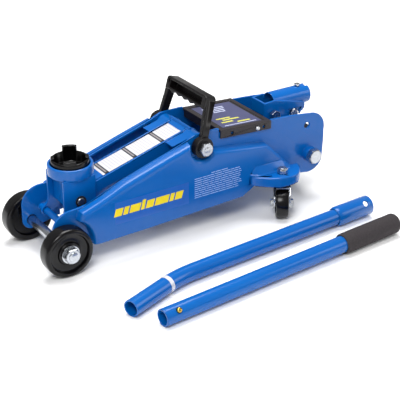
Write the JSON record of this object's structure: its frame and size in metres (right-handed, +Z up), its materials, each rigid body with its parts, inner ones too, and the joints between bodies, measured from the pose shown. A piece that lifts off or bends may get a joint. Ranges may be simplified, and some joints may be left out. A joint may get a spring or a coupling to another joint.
{
  "type": "trolley jack",
  "caption": "Low hydraulic trolley jack: pump socket lifts an arm whose saddle stays level, on front wheels and rear casters, with a two-piece handle beside it.",
  "frame": {"origin": "centre of the bounding box of the jack and its handle, on the ground", "axes": "+Z up; +X from the saddle end towards the handle socket; +Y to the side away from the loose handle"},
  "size_m": [0.448, 0.3208, 0.1863],
  "materials": {
    "blue_enamel": "glossy powder-coat enamel on pressed steel",
    "zinc_plate": "bright zinc plating",
    "bright_steel": "turned and ground steel with a film of oil",
    "cast_iron": "machined casting, dark",
    "black_plastic": "moulded, glossy",
    "black_plastic_wheel": "hard moulded nylon, glossy",
    "grey_plastic": "moulded ABS with a printed label",
    "foam_grip": "closed-cell foam sleeve",
    "brass": "turned brass"
  },
  "bodies": {
    "chassis": {"side_frame_right": "blue_enamel", "side_frame_left": "blue_enamel", "front_axle": "zinc_plate", "front_washer_right": "zinc_plate", "front_washer_left": "zinc_plate", "front_nut_right": "zinc_plate", "front_nut_left": "zinc_plate", "arm_pivot_shaft": "bright_steel", "link_pin_right": "bright_steel", "link_pin_left": "bright_steel", "gland_nut": "bright_steel", "ram_cylinder": "bright_steel", "reservoir_tube": "blue_enamel", "filler_plug": "black_plastic", "pump_block": "cast_iron", "base_plate": "blue_enamel", "socket_pivot_bolt": "zinc_plate", "return_spring_right": "bright_steel", "return_spring_left": "bright_steel", "cover": "grey_plastic", "cover_screw_right": "zinc_plate", "cover_screw_left": "zinc_plate", "pivot_bolt_right": "zinc_plate", "pivot_bolt_left": "zinc_plate", "rear_bolt_right": "zinc_plate", "rear_bolt_left": "zinc_plate", "caster_shelf_right": "blue_enamel", "caster_shelf_left": "blue_enamel"},
    "front_wheel_left": {"front_wheel_left": "black_plastic_wheel"},
    "front_wheel_right": {"front_wheel_right": "black_plastic_wheel"},
    "caster_left": {"caster_fork_left": "zinc_plate", "caster_nut_left": "zinc_plate"},
    "caster_right": {"caster_fork_right": "zinc_plate", "caster_nut_right": "zinc_plate"},
    "caster_wheel_left": {"caster_wheel_left": "black_plastic_wheel", "caster_axle_left": "zinc_plate"},
    "caster_wheel_right": {"caster_wheel_right": "black_plastic_wheel", "caster_axle_right": "zinc_plate"},
    "lift_arm": {"lift_arm": "blue_enamel", "tail_pin": "bright_steel"},
    "saddle_bracket": {"saddle_bracket": "blue_enamel", "bracket_pin": "bright_steel", "snap_ring_left": "black_plastic", "snap_ring_right": "black_plastic"},
    "saddle": {"saddle": "black_plastic", "saddle_washer": "zinc_plate"},
    "lower_link": {"lower_link": "blue_enamel"},
    "ram": {"ram_crosshead": "cast_iron", "ram_rod": "bright_steel"},
    "handle_socket": {"handle_socket": "blue_enamel", "clamp_screw": "zinc_plate"},
    "plunger": {"pump_plunger": "bright_steel", "plunger_pin": "zinc_plate"},
    "release_valve": {"release_valve": "bright_steel"},
    "carry_handle": {"carry_handle": "black_plastic"},
    "handle_lower": {"handle_lower_tube": "blue_enamel", "handle_sleeve": "blue_enamel"},
    "handle_upper": {"handle_upper_tube": "blue_enamel", "grip_sleeve": "foam_grip"},
    "snap_button": {"snap_button": "brass"}
  },
  "joints": [
    {"name": "arm_lift", "type": "hinge", "parent": "chassis", "child": "lift_arm", "pos_m": [0.01047, 0.0717, 0.121], "axis": [0, 1, 0], "range_deg": [0, 60]},
    {"name": "bracket_level", "type": "hinge", "parent": "lift_arm", "child": "saddle_bracket", "pos_m": [-0.15293, 0.0717, 0.0765], "axis": [0, 1, 0], "range_deg": [-60, 0]},
    {"name": "saddle_turn", "type": "hinge", "parent": "saddle_bracket", "child": "saddle", "pos_m": [-0.15293, 0.0717, 0.109], "axis": [0, 0, 1], "continuous": true},
    {"name": "link_swing", "type": "hinge", "parent": "chassis", "child": "lower_link", "pos_m": [-0.01563, 0.0717, 0.0955], "axis": [0, 1, 0], "range_deg": [0, 60]},
    {"name": "ram_travel", "type": "slide", "parent": "chassis", "child": "ram", "axis": [-1, 0, 0], "range_m": [0, 0.042], "deforming": ["return_spring_left", "return_spring_right"]},
    {"name": "front_roll_left", "type": "hinge", "parent": "chassis", "child": "front_wheel_left", "pos_m": [-0.19153, 0.0147, 0.0325], "axis": [0, 1, 0], "continuous": true},
    {"name": "front_roll_right", "type": "hinge", "parent": "chassis", "child": "front_wheel_right", "pos_m": [-0.19153, 0.1287, 0.0325], "axis": [0, 1, 0], "continuous": true},
    {"name": "caster_swivel_left", "type": "hinge", "parent": "chassis", "child": "caster_left", "pos_m": [0.12547, -0.0013, 0.04], "axis": [0, 0, 1], "continuous": true},
    {"name": "caster_roll_left", "type": "hinge", "parent": "caster_left", "child": "caster_wheel_left", "pos_m": [0.1222, -0.00633, 0.0205], "axis": [-0.8387, 0.5446, 0], "continuous": true},
    {"name": "caster_swivel_right", "type": "hinge", "parent": "chassis", "child": "caster_right", "pos_m": [0.12547, 0.1447, 0.04], "axis": [0, 0, 1], "continuous": true},
    {"name": "caster_roll_right", "type": "hinge", "parent": "caster_right", "child": "caster_wheel_right", "pos_m": [0.1222, 0.13967, 0.0205], "axis": [-0.8387, 0.5446, 0], "continuous": true},
    {"name": "socket_swing", "type": "hinge", "parent": "chassis", "child": "handle_socket", "pos_m": [0.15047, 0.0717, 0.1206], "axis": [0, -1, 0], "range_deg": [0, 45]},
    {"name": "plunger_stroke", "type": "slide", "parent": "chassis", "child": "plunger", "axis": [0, 0, 1], "range_m": [0, 0.02828]},
    {"name": "release_turn", "type": "hinge", "parent": "chassis", "child": "release_valve", "pos_m": [0.20347, 0.0717, 0.084], "axis": [1, 0, 0], "range_deg": [0, 270]},
    {"name": "carry_handle_swing", "type": "hinge", "parent": "chassis", "child": "carry_handle", "pos_m": [0.01047, 0.0717, 0.121], "axis": [0, 1, 0], "range_deg": [-38, 24]},
    {"name": "lower_handle_lift", "type": "slide", "parent": "chassis", "child": "handle_lower", "axis": [0, 0, 1], "range_m": [0, 0.25]},
    {"name": "upper_handle_lift", "type": "slide", "parent": "chassis", "child": "handle_upper", "axis": [0, 0, 1], "range_m": [0, 0.25]},
    {"name": "snap_button_press", "type": "slide", "parent": "handle_upper", "child": "snap_button", "axis": [0.0401, -0.706, 0.7071], "range_m": [-0.004, 0], "stiffness_N_per_m": 300}
  ],
  "couplings": [
    {"joint": "bracket_level", "follows": "arm_lift", "ratio": -1},
    {"joint": "link_swing", "follows": "arm_lift", "ratio": 1},
    {"joint": "ram_travel", "follows": "arm_lift", "m_per_rad": 0.0401},
    {"joint": "plunger_stroke", "follows": "socket_swing", "m_per_rad": 0.036}
  ]
}
